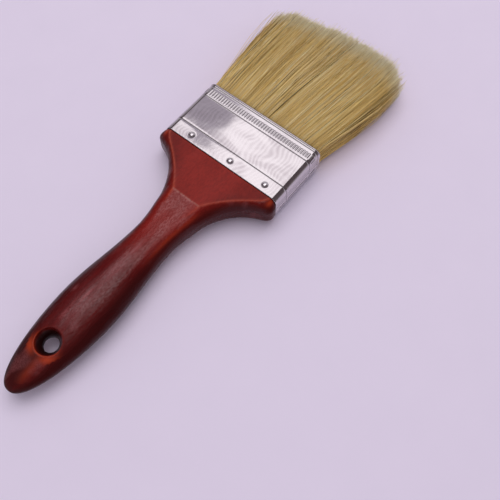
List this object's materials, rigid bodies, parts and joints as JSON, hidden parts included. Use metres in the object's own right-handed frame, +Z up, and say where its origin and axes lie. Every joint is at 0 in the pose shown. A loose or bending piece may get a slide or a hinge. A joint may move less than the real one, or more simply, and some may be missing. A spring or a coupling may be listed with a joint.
{
  "type": "flat paint brush",
  "caption": "Flat paint brush with a lacquered beaver-tail handle, nailed metal ferrule and flared natural bristle that flexes at the ferrule's mouth.",
  "frame": {"origin": "middle of the footprint of the brush lying flat, at its lowest point (the back nails' heads)", "axes": "+X along the brush to the bristle tips, +Y across its width, +Z up through its thickness"},
  "size_m": [0.276, 0.089, 0.0186],
  "materials": {
    "handle_lacquer": "red-brown gloss lacquer over wood, rubbed orange at the edges",
    "ferrule_nickel": "bright nickel-plated tinplate with fine handling scratches",
    "nail_steel": "bright domed nail heads",
    "setting_resin": "amber resin, hidden inside the ferrule",
    "plug_wood": "raw softwood, hidden inside the ferrule",
    "bristle": "blond natural bristle with pale split tips"
  },
  "bodies": {
    "brush_body": {"handle": "handle_lacquer", "ferrule": "ferrule_nickel", "nail_front_1": "nail_steel", "nail_front_2": "nail_steel", "nail_front_3": "nail_steel", "nail_back_1": "nail_steel", "nail_back_2": "nail_steel", "nail_back_3": "nail_steel", "resin_setting": "setting_resin", "spacer_plug_front": "plug_wood", "spacer_plug_back": "plug_wood", "bristle_roots_front": "bristle", "bristle_roots_middle": "bristle", "bristle_roots_back": "bristle"},
    "bristle_tuft": {"bristle_bank_front": "bristle", "bristle_bank_middle": "bristle", "bristle_bank_back": "bristle"}
  },
  "joints": [
    {"name": "bristle_flex", "type": "hinge", "parent": "brush_body", "child": "bristle_tuft", "pos_m": [0.0555, 0, 0.0093], "axis": [0, 1, 0], "range_deg": [-30, 30], "stiffness_Nm_per_rad": 0.6}
  ]
}
